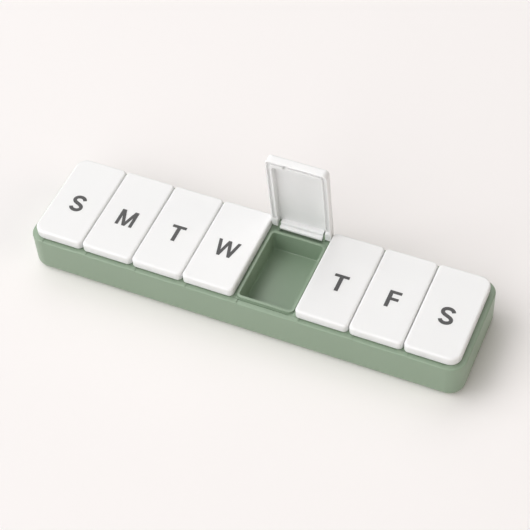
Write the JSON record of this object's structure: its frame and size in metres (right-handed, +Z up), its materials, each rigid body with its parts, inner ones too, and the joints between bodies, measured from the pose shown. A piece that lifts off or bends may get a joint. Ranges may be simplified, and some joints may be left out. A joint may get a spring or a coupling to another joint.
{
  "type": "weekly pill organizer",
  "caption": "Long rounded tray with a row of lidded wells for tablets. Each shallow lid caps its well's rim and swings up on its own hinge pin at the back.",
  "frame": {"origin": "on the table, under the middle of the tray", "axes": "+X along the row from the first day to the last, +Y from the front ledge to the hinge side, +Z up"},
  "size_m": [0.2006, 0.0502, 0.0655],
  "materials": {
    "sage_tray": "fine satin moulding",
    "sage_insert": "fine satin moulding",
    "white_lid": "satin moulding",
    "pin_wire": "drawn wire",
    "mark_ink": "matt printed ink"
  },
  "bodies": {
    "tray": {"outer_tray": "sage_tray", "compartment_insert": "sage_insert", "hinge_pin_sunday": "pin_wire", "hinge_pin_monday": "pin_wire", "hinge_pin_tuesday": "pin_wire", "hinge_pin_wednesday": "pin_wire", "hinge_pin_spare": "pin_wire", "hinge_pin_thursday": "pin_wire", "hinge_pin_friday": "pin_wire", "hinge_pin_saturday": "pin_wire"},
    "sunday_lid": {"lid_sunday": "white_lid"},
    "monday_lid": {"lid_monday": "white_lid"},
    "tuesday_lid": {"lid_tuesday": "white_lid"},
    "wednesday_lid": {"lid_wednesday": "white_lid"},
    "spare_lid": {"lid_spare": "white_lid"},
    "thursday_lid": {"lid_thursday": "white_lid"},
    "friday_lid": {"lid_friday": "white_lid"},
    "saturday_lid": {"lid_saturday": "white_lid"}
  },
  "joints": [
    {"name": "sunday_lid_hinge", "type": "hinge", "parent": "tray", "child": "sunday_lid", "pos_m": [-0.086, 0.0215, 0.0211], "axis": [-1, 0, 0], "range_deg": [0, 110]},
    {"name": "monday_lid_hinge", "type": "hinge", "parent": "tray", "child": "monday_lid", "pos_m": [-0.062, 0.0215, 0.0211], "axis": [-1, 0, 0], "range_deg": [0, 110]},
    {"name": "tuesday_lid_hinge", "type": "hinge", "parent": "tray", "child": "tuesday_lid", "pos_m": [-0.038, 0.0215, 0.0211], "axis": [-1, 0, 0], "range_deg": [0, 110]},
    {"name": "wednesday_lid_hinge", "type": "hinge", "parent": "tray", "child": "wednesday_lid", "pos_m": [-0.014, 0.0215, 0.0211], "axis": [-1, 0, 0], "range_deg": [0, 110]},
    {"name": "spare_lid_hinge", "type": "hinge", "parent": "tray", "child": "spare_lid", "pos_m": [0.012, 0.0215, 0.0211], "axis": [-1, 0, 0], "range_deg": [-85, 25]},
    {"name": "thursday_lid_hinge", "type": "hinge", "parent": "tray", "child": "thursday_lid", "pos_m": [0.038, 0.0215, 0.0211], "axis": [-1, 0, 0], "range_deg": [0, 110]},
    {"name": "friday_lid_hinge", "type": "hinge", "parent": "tray", "child": "friday_lid", "pos_m": [0.062, 0.0215, 0.0211], "axis": [-1, 0, 0], "range_deg": [0, 110]},
    {"name": "saturday_lid_hinge", "type": "hinge", "parent": "tray", "child": "saturday_lid", "pos_m": [0.086, 0.0215, 0.0211], "axis": [-1, 0, 0], "range_deg": [0, 110]}
  ]
}
